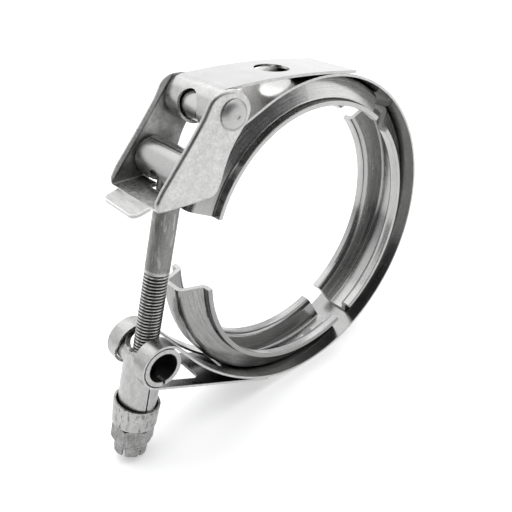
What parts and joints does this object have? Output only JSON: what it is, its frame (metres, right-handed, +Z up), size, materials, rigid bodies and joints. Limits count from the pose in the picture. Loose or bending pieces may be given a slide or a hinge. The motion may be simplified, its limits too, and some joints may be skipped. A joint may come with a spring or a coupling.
{
  "type": "v band clamp",
  "caption": "Standing V-band clamp with a welded-in V retainer, a folding latch lever, a T-bolt in a trunnion and a lock nut, for joining two flanged exhaust tubes.",
  "frame": {"origin": "centre of the ring, on the axis of the V groove, midway across the band", "axes": "+Y along the ring axis, +Z up with the clamp standing on the foot of its band and the crown of its nut, latch towards -X"},
  "size_m": [0.1361, 0.0284, 0.1154],
  "materials": {
    "strip_steel": "bright rolled strip, satin",
    "retainer_steel": "roll-formed sheet with fine lines round the ring",
    "lever_steel": "pressed sheet, fine mottled satin",
    "rivet_steel": "turned, smooth",
    "bolt_steel": "rolled thread, grainy shank",
    "trunnion_steel": "pressed sheet, satin",
    "nut_steel": "dull, slightly rough plated steel"
  },
  "bodies": {
    "clamp_band": {"band_strap": "strip_steel", "retainer_upper": "retainer_steel", "retainer_right": "retainer_steel", "retainer_lower": "retainer_steel"},
    "latch": {"latch_lever": "lever_steel", "lever_rivet": "rivet_steel", "loop_bush": "rivet_steel"},
    "trunnion_swivel": {"trunnion": "trunnion_steel", "collar_cup": "nut_steel"},
    "bolt": {"t_bolt": "bolt_steel", "t_barrel": "trunnion_steel"},
    "nut": {"lock_nut": "nut_steel"}
  },
  "joints": [
    {"name": "latch_hinge", "type": "hinge", "parent": "clamp_band", "child": "latch", "pos_m": [-0.03067, 0, 0.05367], "axis": [0, 1, 0], "range_deg": [0, 115]},
    {"name": "bolt_swing", "type": "hinge", "parent": "clamp_band", "child": "trunnion_swivel", "pos_m": [-0.06386, 0, -0.01822], "axis": [0, -1, 0], "range_deg": [0, 7]},
    {"name": "bolt_travel", "type": "slide", "parent": "trunnion_swivel", "child": "bolt", "axis": [0.3296, 0, 0.9441], "range_m": [0, 0.00529]},
    {"name": "nut_turn", "type": "hinge", "parent": "trunnion_swivel", "child": "nut", "pos_m": [-0.07413, 0, -0.04641], "axis": [-0.3296, 0, -0.9441], "range_deg": [0, 1800]}
  ],
  "couplings": [
    {"joint": "bolt_swing", "follows": "latch_hinge", "ratio": 0.06},
    {"joint": "nut_turn", "follows": "bolt_travel", "rad_per_m": 5938}
  ]
}
